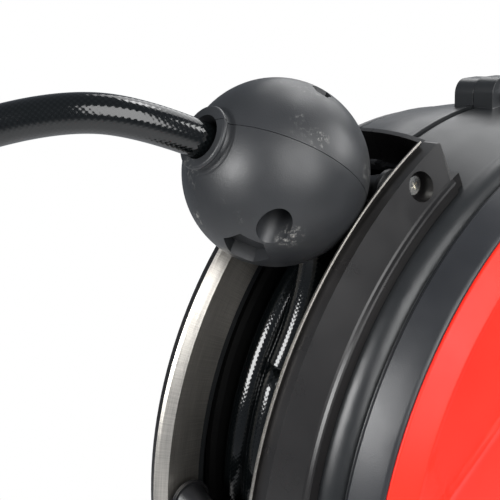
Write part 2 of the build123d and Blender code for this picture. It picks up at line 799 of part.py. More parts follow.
with BuildPart() as pawl_pin:
    with BuildSketch(side(HALF_WIDTH - 0.1)):
        with Locations(PAWL_PIVOT):
            Circle(7)
    extrude(amount=HALF_WIDTH - 0.1 - PAWL_X - 0.3)
    with BuildSketch(side(HALF_WIDTH - 0.1)):
        with Locations(PAWL_PIVOT):
            Circle(3.0)
    extrude(amount=HALF_WIDTH - 0.1 - PAWL_X + 5)
save(pawl_pin, "pawl_pin")

# ---------------------------------------------------------------- guide rollers
ROLLER_WAIST_R = 5.8
ROLLER_END_R = 12.0
ROLLER_ORBIT = 225.5
ROLLER_HALF = 33.4
ROLLER_BORE_R = 3.06
UPPER_ROLLER_ANGLE = 52.6
LOWER_ROLLER_ANGLE = 1.1


def guide_roller(angle):
    """Waisted roller across one end of the slot, with a domed flange at each end."""
    centre = spot(0, ROLLER_ORBIT, angle)
    with BuildPart() as roller:
        with BuildSketch(Plane(origin=centre, x_dir=(1, 0, 0), z_dir=(0, -1, 0))):
            with BuildLine():
                Polyline(
                    (-28.5, ROLLER_END_R - 1.5),
                    (-28.5, ROLLER_END_R),
                    (-31.0, ROLLER_END_R),
                    (-ROLLER_HALF, ROLLER_END_R - 3.5),
                    (-ROLLER_HALF, ROLLER_BORE_R),
                    (ROLLER_HALF, ROLLER_BORE_R),
                    (ROLLER_HALF, ROLLER_END_R - 3.5),
                    (31.0, ROLLER_END_R),
                    (28.5, ROLLER_END_R),
                    (28.5, ROLLER_END_R - 1.5),
                )
                ThreePointArc((28.5, ROLLER_END_R - 1.5), (0, ROLLER_WAIST_R), (-28.5, ROLLER_END_R - 1.5))
            make_face()
        revolve(axis=Axis(centre, (1, 0, 0)))
    return roller


save(guide_roller(UPPER_ROLLER_ANGLE), "guide_roller_upper")
save(guide_roller(LOWER_ROLLER_ANGLE), "guide_roller_lower")

with BuildPart() as roller_pins:
    with BuildSketch(side(35.2)):
        for angle in (UPPER_ROLLER_ANGLE, LOWER_ROLLER_ANGLE):
            with Locations(polar(ROLLER_ORBIT, angle)):
                Circle(3.0)
    extrude(amount=70.4)
save(roller_pins, "roller_pins")

# ---------------------------------------------------------------- ball stop
BALL_AT = spot(0, BALL_ORBIT, BALL_ANGLE)
EXIT_WAY = Vector(0, -cos(radians(EXIT_ANGLE)), sin(radians(EXIT_ANGLE)))
EXIT_UP = Vector(0, sin(radians(EXIT_ANGLE)), cos(radians(EXIT_ANGLE)))
SEAM_ROLL = 9.8  # the halves' parting plane, turned about the hose
SEAM_TILT = 8.8  # and leaning back from it
SEAM_NORMAL = (
    Vector(1, 0, 0) * -sin(radians(SEAM_ROLL))
    + EXIT_UP * cos(radians(SEAM_ROLL)) * cos(radians(SEAM_TILT))
    - EXIT_WAY * sin(radians(SEAM_TILT))
)
SEAM_PLANE = Plane(origin=BALL_AT, x_dir=(1, 0, 0.2), z_dir=SEAM_NORMAL)
BORE_R = HOSE_D / 2 + 0.1
COLLAR_END = 50.0
COLLAR_R = 15.7
BEAD_R = 1.4  # rounded edge of the collar
COLLAR_MOUTH = 1.8
NECK_R = 13.4
NECK_TOP = COLLAR_END - 2 * BEAD_R
NECK_ANGLE = 68.5  # where the neck leaves the ball, degrees from its equator
BACK_MOUTH_ANGLE = 32.7  # half-angle of the lead-in towards the drum
BALL_SCREWS = ((28.0, -10.0), (-28.0, 10.0))
COUNTERBORE_R = 7.8
SCREW_LAND = 11.0  # plastic left under each screw head
POCKET_AT = (7.6, -6.4)
POCKET_ACROSS = 12.0  # six-sided recess under the ball, centre to corner
POCKET_LEVEL = 40.0


def ball_half(up):
    """One moulded half of the ball stop, with its part of the collar and the hose's bore."""
    back_mouth = polar(BALL_R, BACK_MOUTH_ANGLE - 90)
    neck_start = polar(BALL_R, NECK_ANGLE)
    with BuildPart() as ball:
        with BuildSketch(Plane(origin=BALL_AT, x_dir=EXIT_UP, z_dir=(1, 0, 0))):
            with BuildLine():
                Polyline((BORE_R, COLLAR_END - 3 * COLLAR_MOUTH), (BORE_R, -8), back_mouth)
                ThreePointArc(back_mouth, (BALL_R, 0), neck_start)
                ThreePointArc(neck_start, (NECK_R + 0.7, NECK_TOP - 1.7), (NECK_R, NECK_TOP))
                Line((NECK_R, NECK_TOP), (COLLAR_R - BEAD_R, NECK_TOP))
                ThreePointArc(
                    (COLLAR_R - BEAD_R, NECK_TOP),
                    (COLLAR_R, NECK_TOP + BEAD_R),
                    (COLLAR_R - BEAD_R, COLLAR_END),
                )
                Polyline(
                    (COLLAR_R - BEAD_R, COLLAR_END),
                    (BORE_R + COLLAR_MOUTH, COLLAR_END),
                    (BORE_R, COLLAR_END - 3 * COLLAR_MOUTH),
                )
            make_face()
        revolve(axis=Axis(BALL_AT, EXIT_WAY))
        with BuildSketch(SEAM_PLANE.offset(SCREW_LAND)):
            with Locations(*BALL_SCREWS):
                RegularPolygon(5.4, 6)
        extrude(amount=BALL_R, mode=Mode.SUBTRACT)
        with BuildSketch(SEAM_PLANE.offset(-SCREW_LAND)):
            with Locations(*BALL_SCREWS):
                Circle(COUNTERBORE_R)
        extrude(amount=-BALL_R, mode=Mode.SUBTRACT)
        with BuildSketch(SEAM_PLANE):
            with Locations(*BALL_SCREWS):
                Circle(2.7)
        extrude(amount=BALL_R, both=True, mode=Mode.SUBTRACT)
        with BuildSketch(SEAM_PLANE.offset(-POCKET_LEVEL)):
            with Locations(POCKET_AT):
                RegularPolygon(POCKET_ACROSS, 6)
        extrude(amount=POCKET_LEVEL - BALL_R - 1, mode=Mode.SUBTRACT)
        if up:
            split(bisect_by=SEAM_PLANE.offset(SHELL_GAP), keep=Keep.TOP)
        else:
            split(bisect_by=SEAM_PLANE.offset(-SHELL_GAP), keep=Keep.BOTTOM)
    return ball


save(ball_half(True), "ball_half_upper")
save(ball_half(False), "ball_half_lower")

with BuildPart() as ball_screws:
    with BuildSketch(SEAM_PLANE.offset(-SCREW_LAND - 0.05)):
        with Locations(*BALL_SCREWS):
            Circle(4.6)
    extrude(amount=-4.5)
    with BuildSketch(SEAM_PLANE.offset(-SCREW_LAND - 0.05)):
        with Locations(*BALL_SCREWS):
            Circle(2.5)
    extrude(amount=2 * SCREW_LAND + 6)
    with BuildSketch(SEAM_PLANE.offset(-SCREW_LAND - 4.55)):
        with Locations(*BALL_SCREWS):
            RegularPolygon(2.4, 6)
    extrude(amount=2.5, mode=Mode.SUBTRACT)
save(ball_screws, "ball_screws")

with BuildPart() as ball_nuts:
    with BuildSketch(SEAM_PLANE.offset(SCREW_LAND + 0.05)):
        with Locations(*BALL_SCREWS):
            RegularPolygon(4.6, 6)
            Circle(2.55, mode=Mode.SUBTRACT)
    extrude(amount=4)
save(ball_nuts, "ball_nuts")

# ---------------------------------------------------------------- hose
# The free hose bends aside as it leaves the ball, arches over and hangs; these are its corners before rounding.
LEADER_POINTS = [
    (0.0, -524.8, 190.5),
    (0.0, -588.2, 220.1),
    (-24.0, -637.0, 226.5),
    (-88.0, -706.0, 194.0),
    (-103.0, -799.0, 122.0),
    (-112.0, -820.0, 26.0),
    (-122.0, -810.0, -76.0),
    (-119.0, -798.0, -180.0),
    (-122.0, -802.0, -285.0),
]
CORNER_SHARE = 0.45


def corner_radii(points):
    """Largest even bend at each corner: its arc uses this share of the shorter run beside it."""
    radii = []
    for a, b, c in zip(points, points[1:], points[2:]):
        before = Vector(*b) - Vector(*a)
        after = Vector(*c) - Vector(*b)
        half_turn = radians(before.get_angle(after)) / 2
        radii.append(CORNER_SHARE * min(before.length, after.length) / tan(half_turn))
    return radii


def hose_tube(points, radii):
    """Plain round tube along straight runs joined by arcs; prints its length check."""
    with BuildPart() as tube:
        with BuildLine() as route:
            FilletPolyline(*points, radius=radii)
        wire = route.wires()[0]
        with BuildSketch(Plane(origin=wire @ 0, z_dir=wire % 0)):
            Circle(HOSE_D / 2)
        sweep(path=wire)
    share = tube.part.volume / (pi * HOSE_D**2 / 4 * wire.length)
    print(f"length {wire.length:.1f} radii {[round(r) for r in radii]} volume share {share:.4f}")
    return tube


save(hose_tube(LEADER_POINTS, corner_radii(LEADER_POINTS)), "hose_leader")

LEAD_END = spot(LEAD_X, LEAD_R, LEAD_ANGLE)
lead_back = (LEAD_END - BALL_AT).dot(EXIT_UP)
tangent = Vector(0, sin(radians(LEAD_ANGLE)), cos(radians(LEAD_ANGLE)))
lead_corner = LEAD_END - tangent * (lead_back / tangent.dot(EXIT_UP))
lead_points = [BALL_AT, Vector(0, lead_corner.Y, lead_corner.Z), LEAD_END]
save(hose_tube(lead_points, [LEAD_BEND]), "hose_lead")

# ---------------------------------------------------------------- nozzle
NOZZLE_AT = Vector(*LEADER_POINTS[-1])
NOZZLE_WAY = (NOZZLE_AT - Vector(*LEADER_POINTS[-2])).normalized()
NOZZLE_PLANE = Plane(origin=NOZZLE_AT, z_dir=NOZZLE_WAY)
NOZZLE_AXIS = Axis(NOZZLE_AT, NOZZLE_WAY)
NOZZLE_SECTION = Plane(origin=NOZZLE_AT, x_dir=NOZZLE_PLANE.x_dir, z_dir=NOZZLE_PLANE.y_dir * -1)
print("nozzle", NOZZLE_AT, NOZZLE_WAY)


def turned_on_nozzle(points):
    """Solid turned about the nozzle's axis from (radius, distance) points."""
    with BuildPart() as ring:
        with BuildSketch(NOZZLE_SECTION):
            with BuildLine():
                Polyline(*points, close=True)
            make_face()
        revolve(axis=NOZZLE_AXIS)
    return ring.part


with BuildPart() as hose_ferrule:
    add(turned_on_nozzle([(HOSE_D / 2 + 0.1, -30), (10.9, -30), (11.6, -28), (11.6, 0), (HOSE_D / 2 + 0.1, 0)]))
save(hose_ferrule, "hose_ferrule")

with BuildPart() as nozzle_body:
    add(
        turned_on_nozzle(
            [
                (5.2, 0.1),
                (13.0, 0.1),
                (13.0, 16),
                (15.5, 20),
                (17.5, 34),
                (17.5, 52),
                (15.5, 55),
                (11.0, 55),
                (11.0, 112),
                (5.2, 112),
            ]
        )
    )
    with BuildSketch(NOZZLE_PLANE.offset(0.1)):
        RegularPolygon(17, 6)
        Circle(12.9, mode=Mode.SUBTRACT)
    extrude(amount=13)
save(nozzle_body, "nozzle_body")

GRIP_COUNT = 12
with BuildPart() as nozzle_sleeve:
    add(
        turned_on_nozzle(
            [
                (11.06, 56),
                (18.0, 56),
                (20.5, 60),
                (20.5, 96),
                (18.0, 104),
                (17.0, 122),
                (13.0, 134),
                (8.0, 134),
                (6.0, 114),
                (11.06, 114),
            ]
        )
    )
    with BuildSketch(NOZZLE_PLANE.offset(60)):
        with PolarLocations(21.6, GRIP_COUNT):
            Circle(2.6)
    extrude(amount=36, mode=Mode.SUBTRACT)
save(nozzle_sleeve, "nozzle_sleeve")

with BuildPart() as nozzle_bumper:
    add(turned_on_nozzle([(17.96, 106), (21.0, 107.5), (22.0, 110), (22.0, 116), (21.0, 118.5), (17.2, 120)]))
save(nozzle_bumper, "nozzle_bumper")
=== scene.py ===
import json
import math

import bpy
from mathutils import Matrix, Vector


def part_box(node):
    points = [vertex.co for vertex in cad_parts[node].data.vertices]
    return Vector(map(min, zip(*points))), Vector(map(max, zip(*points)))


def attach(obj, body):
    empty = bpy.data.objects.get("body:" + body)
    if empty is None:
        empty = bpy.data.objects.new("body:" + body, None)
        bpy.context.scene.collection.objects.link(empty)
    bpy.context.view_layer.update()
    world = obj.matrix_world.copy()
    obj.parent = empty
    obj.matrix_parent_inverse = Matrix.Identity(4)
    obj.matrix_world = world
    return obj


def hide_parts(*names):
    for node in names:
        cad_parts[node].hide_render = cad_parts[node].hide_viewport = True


# Looks of a wall hose reel: round black case with red side covers, steel-lined slot, ball stop, hose.
# Metres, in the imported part's own frame.

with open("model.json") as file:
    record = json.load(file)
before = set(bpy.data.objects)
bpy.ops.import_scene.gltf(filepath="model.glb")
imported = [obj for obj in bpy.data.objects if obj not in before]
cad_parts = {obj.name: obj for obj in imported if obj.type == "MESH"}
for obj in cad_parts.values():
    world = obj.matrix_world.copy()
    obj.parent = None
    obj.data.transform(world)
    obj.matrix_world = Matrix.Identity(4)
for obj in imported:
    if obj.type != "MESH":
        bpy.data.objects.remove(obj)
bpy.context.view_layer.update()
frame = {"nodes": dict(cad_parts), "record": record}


def middle(name):
    """Middle of this node's box."""
    low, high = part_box(name)
    return (Vector(low) + Vector(high)) / 2


CASE_AT = Vector((0, middle("side_ring_right").y, middle("side_ring_right").z))

# ---------------------------------------------------------------- camera
VIEW_AZIMUTH = math.radians(51.684)
VIEW_ELEVATION = math.radians(14.169)
# How far the camera stands from the middle of the case, along its own back, right and up.
VIEW_BACK = 0.552
VIEW_RIGHT = -0.1618
VIEW_UP = 0.1171
SENSOR_MM = 36.0
LENS_MM = 55.872

back = Vector(
    (
        math.sin(VIEW_AZIMUTH) * math.cos(VIEW_ELEVATION),
        -math.cos(VIEW_AZIMUTH) * math.cos(VIEW_ELEVATION),
        math.sin(VIEW_ELEVATION),
    )
)
right = Vector((math.cos(VIEW_AZIMUTH), math.sin(VIEW_AZIMUTH), 0))
up = back.cross(right)
eye = bpy.data.cameras.new("eye")
eye.sensor_width = SENSOR_MM
eye.lens = LENS_MM
eye.clip_start = 0.01
eye.clip_end = 60
camera = bpy.data.objects.new("eye", eye)
turn = Matrix((right, up, back)).transposed().to_4x4()
turn.translation = CASE_AT + back * VIEW_BACK + right * VIEW_RIGHT + up * VIEW_UP
camera.matrix_world = turn
bpy.context.scene.collection.objects.link(camera)
bpy.context.scene.camera = camera


# ---------------------------------------------------------------- node helpers
def node(tree, kind, inputs=None, **settings):
    """New shader node; inputs are numbers, colours or sockets to link."""
    item = tree.nodes.new("ShaderNode" + kind)
    for key, value in settings.items():
        setattr(item, key, value)
    for key, value in (inputs or {}).items():
        if isinstance(value, bpy.types.NodeSocket):
            tree.links.new(value, item.inputs[key])
        else:
            item.inputs[key].default_value = value
    return item


def blank(name):
    material = bpy.data.materials.new(name)
    material.use_nodes = True
    tree = material.node_tree
    return material, tree, tree.nodes["Principled BSDF"]


def math_node(tree, operation, a, b=0.0, c=0.0):
    return node(tree, "Math", {0: a, 1: b, 2: c}, operation=operation).outputs[0]


def noise(tree, where, scale, detail=3.0, rough=0.5):
    inputs = {"Vector": where, "Scale": scale, "Detail": detail, "Roughness": rough}
    return node(tree, "TexNoise", inputs).outputs["Fac"]


def spread(tree, value, low, high, start=0.3, end=0.7):
    """Maps a value between start and end onto low..high, held at the ends."""
    inputs = {"Value": value, "From Min": start, "From Max": end, "To Min": low, "To Max": high}
    return node(tree, "MapRange", inputs).outputs["Result"]


def blended(tree, factor, first, second):
    return node(tree, "Mix", {0: factor, 6: first, 7: second}, data_type="RGBA").outputs[2]


def object_place(tree):
    return node(tree, "TexCoord").outputs["Object"]


def around_case(tree, per_angle, per_radius, per_x):
    """Texture place that runs round the case axis: scaled angle, radius and X."""
    parts = node(tree, "SeparateXYZ", {0: object_place(tree)})
    ahead = math_node(tree, "MULTIPLY_ADD", parts.outputs["Y"], -1.0, CASE_AT.y)
    angle = math_node(tree, "ARCTAN2", parts.outputs["Z"], ahead)
    square = math_node(tree, "MULTIPLY", parts.outputs["Z"], parts.outputs["Z"])
    radius = math_node(tree, "SQRT", math_node(tree, "MULTIPLY_ADD", ahead, ahead, square))
    scaled = {
        0: math_node(tree, "MULTIPLY", angle, per_angle),
        1: math_node(tree, "MULTIPLY", radius, per_radius),
        2: math_node(tree, "MULTIPLY", parts.outputs["X"], per_x),
    }
    return node(tree, "CombineXYZ", scaled).outputs[0]


def relief(tree, height, depth, normal=None):
    """Surface normal bumped by the height value, depth metres deep."""
    inputs = {"Height": height, "Strength": 1.0, "Distance": depth}
    if normal is not None:
        inputs["Normal"] = normal
    return node(tree, "Bump", inputs).outputs["Normal"]


CLOUD_SCALE = 9.0  # broad unevenness of moulded colour
GLOSS_SWING = 0.05
HANDLING = 0.08  # how far handling marks dull a metal


def plastic(name, dark, light, rough, grain=1500.0, depth=0.00002, specular=0.5):
    """Moulded plastic: slightly uneven colour and gloss over a fine spark-eroded grain."""
    material, tree, shader = blank(name)
    place = object_place(tree)
    tone = spread(tree, noise(tree, place, CLOUD_SCALE, 5.0, 0.6), 0.0, 1.0)
    tree.links.new(blended(tree, tone, (*dark, 1), (*light, 1)), shader.inputs["Base Color"])
    sheen = spread(tree, noise(tree, place, CLOUD_SCALE * 5, 4.0), rough - GLOSS_SWING, rough + GLOSS_SWING)
    tree.links.new(sheen, shader.inputs["Roughness"])
    tree.links.new(relief(tree, noise(tree, place, grain, 2.0), depth), shader.inputs["Normal"])
    shader.inputs["Specular IOR Level"].default_value = specular
    return material


def metal(name, colour, rough, grain=400.0, depth=0.00001):
    """Plated or turned metal with faint handling marks."""
    material, tree, shader = blank(name)
    place = object_place(tree)
    darker = [c * (1 - 3 * HANDLING) for c in colour]
    tone = spread(tree, noise(tree, place, 60.0, 4.0, 0.65), 0.0, 1.0)
    tree.links.new(blended(tree, tone, (*darker, 1), (*colour, 1)), shader.inputs["Base Color"])
    sheen = spread(tree, noise(tree, place, 180.0, 3.0), rough - HANDLING, rough + HANDLING)
    tree.links.new(sheen, shader.inputs["Roughness"])
    tree.links.new(relief(tree, noise(tree, place, grain, 2.0), depth), shader.inputs["Normal"])
    shader.inputs["Metallic"].default_value = 1.0
    return material


# ---------------------------------------------------------------- materials
# Darkest and lightest colour, roughness, then grain scale, grain depth and specular level where they differ.
PLASTICS = {
    "case_black": ((0.009, 0.010, 0.011), (0.016, 0.017, 0.018), 0.34, 1700, 0.00003, 0.45),
    "ring_grey": ((0.012, 0.013, 0.015), (0.020, 0.021, 0.024), 0.38, 1500, 0.00004, 0.50),
    "frame_black": ((0.008, 0.0075, 0.0075), (0.014, 0.013, 0.013), 0.30, 1100, 0.00001, 0.45),
    "cover_red": ((0.90, 0.018, 0.009), (0.97, 0.028, 0.013), 0.42, 1200, 0.00002, 0.24),
    "drum_plastic": ((0.004, 0.004, 0.004), (0.008, 0.008, 0.008), 0.50, 1500, 0.00002, 0.25),
    "bush_plastic": ((0.007, 0.007, 0.008), (0.013, 0.013, 0.014), 0.38),
    "seal_rubber": ((0.010, 0.010, 0.010), (0.018, 0.018, 0.018), 0.60),
    "bracket_paint": ((0.016, 0.016, 0.018), (0.026, 0.026, 0.028), 0.40, 420, 0.00018),
    "nozzle_black": ((0.014, 0.014, 0.015), (0.024, 0.024, 0.025), 0.45, 1300, 0.00003),
    "nozzle_red": ((0.62, 0.015, 0.010), (0.74, 0.025, 0.018), 0.48, 900, 0.00004),
}
# Colour, roughness, then grain scale and depth where they differ.
METALS = {
    "screw_steel": ((0.92, 0.90, 0.84), 0.24, 900, 0.00006),
    "zinc_steel": ((0.66, 0.68, 0.70), 0.34),
    "axle_steel": ((0.60, 0.60, 0.61), 0.30),
    "ferrule_steel": ((0.70, 0.70, 0.71), 0.26),
    "brass": ((0.78, 0.56, 0.26), 0.28),
}


def brushed_strip():
    """Stainless strip, ground across its width, with a warm cast."""
    material, tree, shader = blank("strip_steel")
    grind = noise(tree, around_case(tree, 1400.0, 26.0, 26.0), 1.0, 4.0, 0.6)
    long_lines = noise(tree, around_case(tree, 9.0, 2600.0, 2600.0), 1.0, 3.0, 0.6)
    mixed = math_node(tree, "MULTIPLY_ADD", long_lines, 0.35, math_node(tree, "MULTIPLY", grind, 0.65))
    tone = spread(tree, mixed, 0.0, 1.0, 0.38, 0.62)
    steel = blended(tree, tone, (0.36, 0.34, 0.31, 1), (0.62, 0.59, 0.54, 1))
    tree.links.new(steel, shader.inputs["Base Color"])
    tree.links.new(spread(tree, mixed, 0.30, 0.48), shader.inputs["Roughness"])
    tree.links.new(relief(tree, mixed, 0.00004), shader.inputs["Normal"])
    shader.inputs["Metallic"].default_value = 1.0
    return material


STRANDS = 22.0  # braid strands round the hose
BRAID_PITCH = 0.0026


def hose_skin():
    """Glossy black hose with its braid showing through as fine crossed ribs."""
    material, tree, shader = blank("hose_black")
    place = node(tree, "SeparateXYZ", {0: node(tree, "TexCoord").outputs["UV"]})
    run = math_node(tree, "MULTIPLY", place.outputs["X"], 2 * math.pi / BRAID_PITCH)
    turn_by = math_node(tree, "MULTIPLY", place.outputs["Y"], 2 * math.pi * STRANDS)
    left = math_node(tree, "SINE", math_node(tree, "ADD", run, turn_by))
    other = math_node(tree, "SINE", math_node(tree, "SUBTRACT", run, turn_by))
    ribs = math_node(tree, "MULTIPLY", math_node(tree, "ADD", left, other), 0.5)
    spotty = noise(tree, object_place(tree), 90.0, 3.0)
    shade = spread(tree, ribs, 0.0, 1.0, -0.4, 1.0)
    skin = blended(tree, shade, (0.0015, 0.002, 0.0022, 1), (0.0040, 0.0048, 0.0052, 1))
    tree.links.new(skin, shader.inputs["Base Color"])
    tree.links.new(spread(tree, spotty, 0.09, 0.16), shader.inputs["Roughness"])
    tree.links.new(relief(tree, ribs, 0.000020), shader.inputs["Normal"])
    shader.inputs["Specular IOR Level"].default_value = 0.55
    return material


# Where the ball is scuffed, and how far each scuff reaches.
KNOCKS = (
    ((0.0365, -0.547, 0.1665), 0.009),
    ((-0.007, -0.567, 0.171), 0.006),
    ((0.0415, -0.534, 0.212), 0.006),
)


def ball_plastic():
    """Satin charcoal ball stop with rubbed and scratched patches where it knocks on the slot."""
    material, tree, shader = blank("ball_charcoal")
    place = object_place(tree)
    tone = spread(tree, noise(tree, place, 22.0, 5.0, 0.6), 0.0, 1.0)
    plain = blended(tree, tone, (0.011, 0.012, 0.013, 1), (0.020, 0.021, 0.023, 1))
    patches = spread(tree, noise(tree, place, 34.0, 3.0, 0.6), 0.0, 0.5, 0.57, 0.68)
    to_ball = frame["nodes"]["ball_half_lower"].matrix_world.inverted()
    for centre, reach in KNOCKS:
        ends = {0: place, 1: to_ball @ Vector(centre)}
        gap = node(tree, "VectorMath", ends, operation="DISTANCE").outputs["Value"]
        patches = math_node(tree, "MAXIMUM", patches, spread(tree, gap, 1.0, 0.0, reach * 0.3, reach))
    scratch = spread(tree, noise(tree, place, 420.0, 6.0, 0.75), 0.0, 1.0, 0.52, 0.64)
    worn = math_node(tree, "MULTIPLY", patches, scratch)
    faint = math_node(tree, "MULTIPLY", worn, 0.60)
    tree.links.new(blended(tree, faint, plain, (0.42, 0.41, 0.38, 1)), shader.inputs["Base Color"])
    sheen = spread(tree, noise(tree, place, 60.0, 4.0), 0.37, 0.47)
    tree.links.new(math_node(tree, "MULTIPLY_ADD", worn, 0.2, sheen), shader.inputs["Roughness"])
    fine = relief(tree, noise(tree, place, 1500.0, 2.0), 0.00005)
    tree.links.new(relief(tree, worn, 0.00006, fine), shader.inputs["Normal"])
    return material


slot_materials = {
    "strip_steel": brushed_strip(),
    "hose_black": hose_skin(),
    "ball_charcoal": ball_plastic(),
}
for name, facts in PLASTICS.items():
    slot_materials[name] = plastic(name, *facts)
for name, facts in METALS.items():
    slot_materials[name] = metal(name, *facts)
for subpart in frame["record"]["subparts"]:
    shown = frame["nodes"][subpart["node"]]
    for place in shown.material_slots:
        place.link = "OBJECT"
        place.material = slot_materials[subpart["material_slot"]]


# ---------------------------------------------------------------- broken edges
# Width of the broken edge, by the start of the node's name.
EDGE_BREAKS = {"slot_frame": 0.0006, "case_half": 0.0005, "side_ring": 0.0005, "ball_half": 0.0004}
EDGE_ANGLE = math.radians(24)
for name, shown in frame["nodes"].items():
    width = EDGE_BREAKS.get(name.rpartition("_")[0])
    if width is None:
        continue
    joined = shown.modifiers.new("joined", "WELD")
    joined.merge_threshold = 0.00001
    broken = shown.modifiers.new("broken_edge", "BEVEL")
    broken.width = width
    broken.segments = 2
    broken.limit_method = "ANGLE"
    broken.angle_limit = EDGE_ANGLE
    broken.profile = 0.7
    evened = shown.modifiers.new("evened", "WEIGHTED_NORMAL")
    evened.weight = 80


# ---------------------------------------------------------------- mesh helpers
def piece(name, points, faces, body, slot, uv=None):
    """Smooth mesh piece in this material slot that moves with the body."""
    mesh = bpy.data.meshes.new(name)
    mesh.from_pydata(points, [], faces)
    mesh.materials.append(slot_materials[slot])
    mesh.polygons.foreach_set("use_smooth", [True] * len(mesh.polygons))
    if uv is not None:
        layer = mesh.uv_layers.new(name="UVMap")
        layer.data.foreach_set("uv", [v for pair in uv for v in pair])
    mesh.update()
    obj = bpy.data.objects.new(name, mesh)
    bpy.context.scene.collection.objects.link(obj)
    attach(obj, body)
    return obj


def spline_points(points, per_point):
    """Points read from the smooth NURBS line that has these control points."""
    curve = bpy.data.curves.new("route", "CURVE")
    curve.dimensions = "3D"
    line = curve.splines.new("NURBS")
    line.points.add(len(points) - 1)
    for target, point in zip(line.points, points):
        target.co = (*point, 1)
    line.order_u = 3
    line.use_endpoint_u = True
    line.resolution_u = per_point
    obj = bpy.data.objects.new("route", curve)
    bpy.context.scene.collection.objects.link(obj)
    bpy.context.view_layer.update()
    mesh = bpy.data.meshes.new_from_object(obj.evaluated_get(bpy.context.evaluated_depsgraph_get()))
    read = [v.co.copy() for v in mesh.vertices]
    bpy.data.objects.remove(obj)
    bpy.data.curves.remove(curve)
    bpy.data.meshes.remove(mesh)
    return read


def tube(name, line, radius, sides, body):
    """Closed length of hose along the line; its UVs are metres along it and turns round it."""
    count = len(line)
    ahead = (line[1] - line[0]).normalized()
    across = ahead.orthogonal().normalized()
    points, along = [], [0.0]
    for i in range(count):
        if 0 < i:
            along.append(along[-1] + (line[i] - line[i - 1]).length)
        way = (line[min(i + 1, count - 1)] - line[max(i - 1, 0)]).normalized()
        across = (across - way * across.dot(way)).normalized()
        other = way.cross(across)
        for k in range(sides):
            a = 2 * math.pi * k / sides
            points.append(line[i] + (across * math.cos(a) + other * math.sin(a)) * radius)
    faces, uv = [], []
    for i in range(count - 1):
        for k in range(sides):
            n = (k + 1) % sides
            faces.append((i * sides + k, i * sides + n, (i + 1) * sides + n, (i + 1) * sides + k))
            low, high = k / sides, (k + 1) / sides
            uv += [(along[i], low), (along[i], high), (along[i + 1], high), (along[i + 1], low)]
    for ring, order in ((0, -1), (count - 1, 1)):
        cap = [ring * sides + k for k in range(sides)][::order]
        faces.append(cap)
        uv += [(along[ring], 0.0)] * sides
    return piece(name, points, faces, body, "hose_black", uv)


def round_case(x, radius, degrees):
    """Point at this radius and angle (up from straight ahead) about the case axis."""
    a = math.radians(degrees)
    return CASE_AT + Vector((x, -radius * math.cos(a), radius * math.sin(a)))


# ---------------------------------------------------------------- hose
HOSE_R = 0.009
LEADER_POINTS = [
    (0.0, -0.5248, 0.1905),
    (0.0, -0.5882, 0.2201),
    (-0.024, -0.6370, 0.2265),
    (-0.088, -0.7060, 0.1940),
    (-0.103, -0.7990, 0.1220),
    (-0.112, -0.8200, 0.0260),
    (-0.122, -0.8100, -0.0760),
    (-0.119, -0.7980, -0.1800),
    (-0.122, -0.8020, -0.2850),
]
BALL_AT = Vector(LEADER_POINTS[0])
leader_line = spline_points(LEADER_POINTS, 90)
leader = tube("leader_hose", leader_line, HOSE_R, 48, "hose_run")
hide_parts("hose_leader")

LEAD_ANGLE = 24.0
LEAD_R = 0.1905
LEAD_X = -0.012
LEAD_CORNER = (0.0, -0.4701, 0.1650)
lead_end = round_case(LEAD_X, LEAD_R, LEAD_ANGLE)
lead_line = spline_points([tuple(BALL_AT), LEAD_CORNER, tuple(lead_end)], 90)
lead = tube("lead_hose", lead_line, HOSE_R, 48, "hose_run")
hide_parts("hose_lead")

# The wound hose: turns laid side by side, layer on layer, from the one that is leaving the drum.
TURN_POINTS = 16
LAYER_STEP = 0.0156
TURN_PITCH = 0.0181
WIND_HALF = 0.0370  # how far each way from the middle the turns are laid
FIRST_DROP = 0.0030  # extra gap between the outermost layer and the next
INNER_LAYERS = 6
CLIMB = 4  # control points over which the hose steps down to the next layer


def wound_points():
    """Control points of the winding, outermost turn first."""
    step = 360.0 / TURN_POINTS
    swell = 1 / math.cos(math.radians(step / 2))
    points = [tuple(lead_end)]
    x, radius, angle, way = LEAD_X, LEAD_R, LEAD_ANGLE - step / 2, -1
    for layer in range(INNER_LAYERS + 1):
        target = LEAD_R - FIRST_DROP - LAYER_STEP * layer
        while x * way < WIND_HALF:
            radius = max(target, radius - LAYER_STEP / CLIMB) if layer else LEAD_R
            points.append(tuple(round_case(x, radius * swell, angle)))
            x += way * TURN_PITCH / TURN_POINTS
            angle -= step
        x = WIND_HALF * way
        way = -way
    return points


wound_line = spline_points(wound_points(), 5)
wound = tube("wound_hose", wound_line, HOSE_R, 20, "drum")
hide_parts("hose_pack")


# ---------------------------------------------------------------- red side covers
BLADES = 5
BLADE_EDGE_AT = 0.139  # each blade's straight edge lies this far from the case axis
BLADE_TURN = 50.3
RIDGE = 0.0017  # height of the ridge along a blade's edge
RIDGE_OUTER = 0.0008  # width of the ridge's steep outer side
RIDGE_INNER = 0.0060
DOME_R = 0.1866  # where the dome starts inside the raised line
DOME_X = 0.0948
DOME_RISE = 0.0094
DISH_R = 0.066
# Outlines as (X, radius): the rim up to the raised line, the hub dish, and back along the inside.
RIM_OUTLINE = [
    (0.0802, 0.1984),
    (0.0802, 0.2018),
    (0.0876, 0.2018),
    (0.0886, 0.2012),
    (0.0936, 0.1900),
    (0.0947, 0.1890),
    (0.0950, 0.1880),
    (DOME_X, DOME_R),
]
DISH_OUTLINE = [(0.1040, 0.0640), (0.1034, 0.0605), (0.1012, 0.0585), (0.0962, 0.0548), (0.0950, 0.0530)]
INSIDE_OUTLINE = [
    (0.0916, 0.056),
    (0.1002, 0.062),
    (0.0992, 0.110),
    (0.0958, 0.150),
    (0.0914, 0.187),
    (0.0850, 0.198),
]


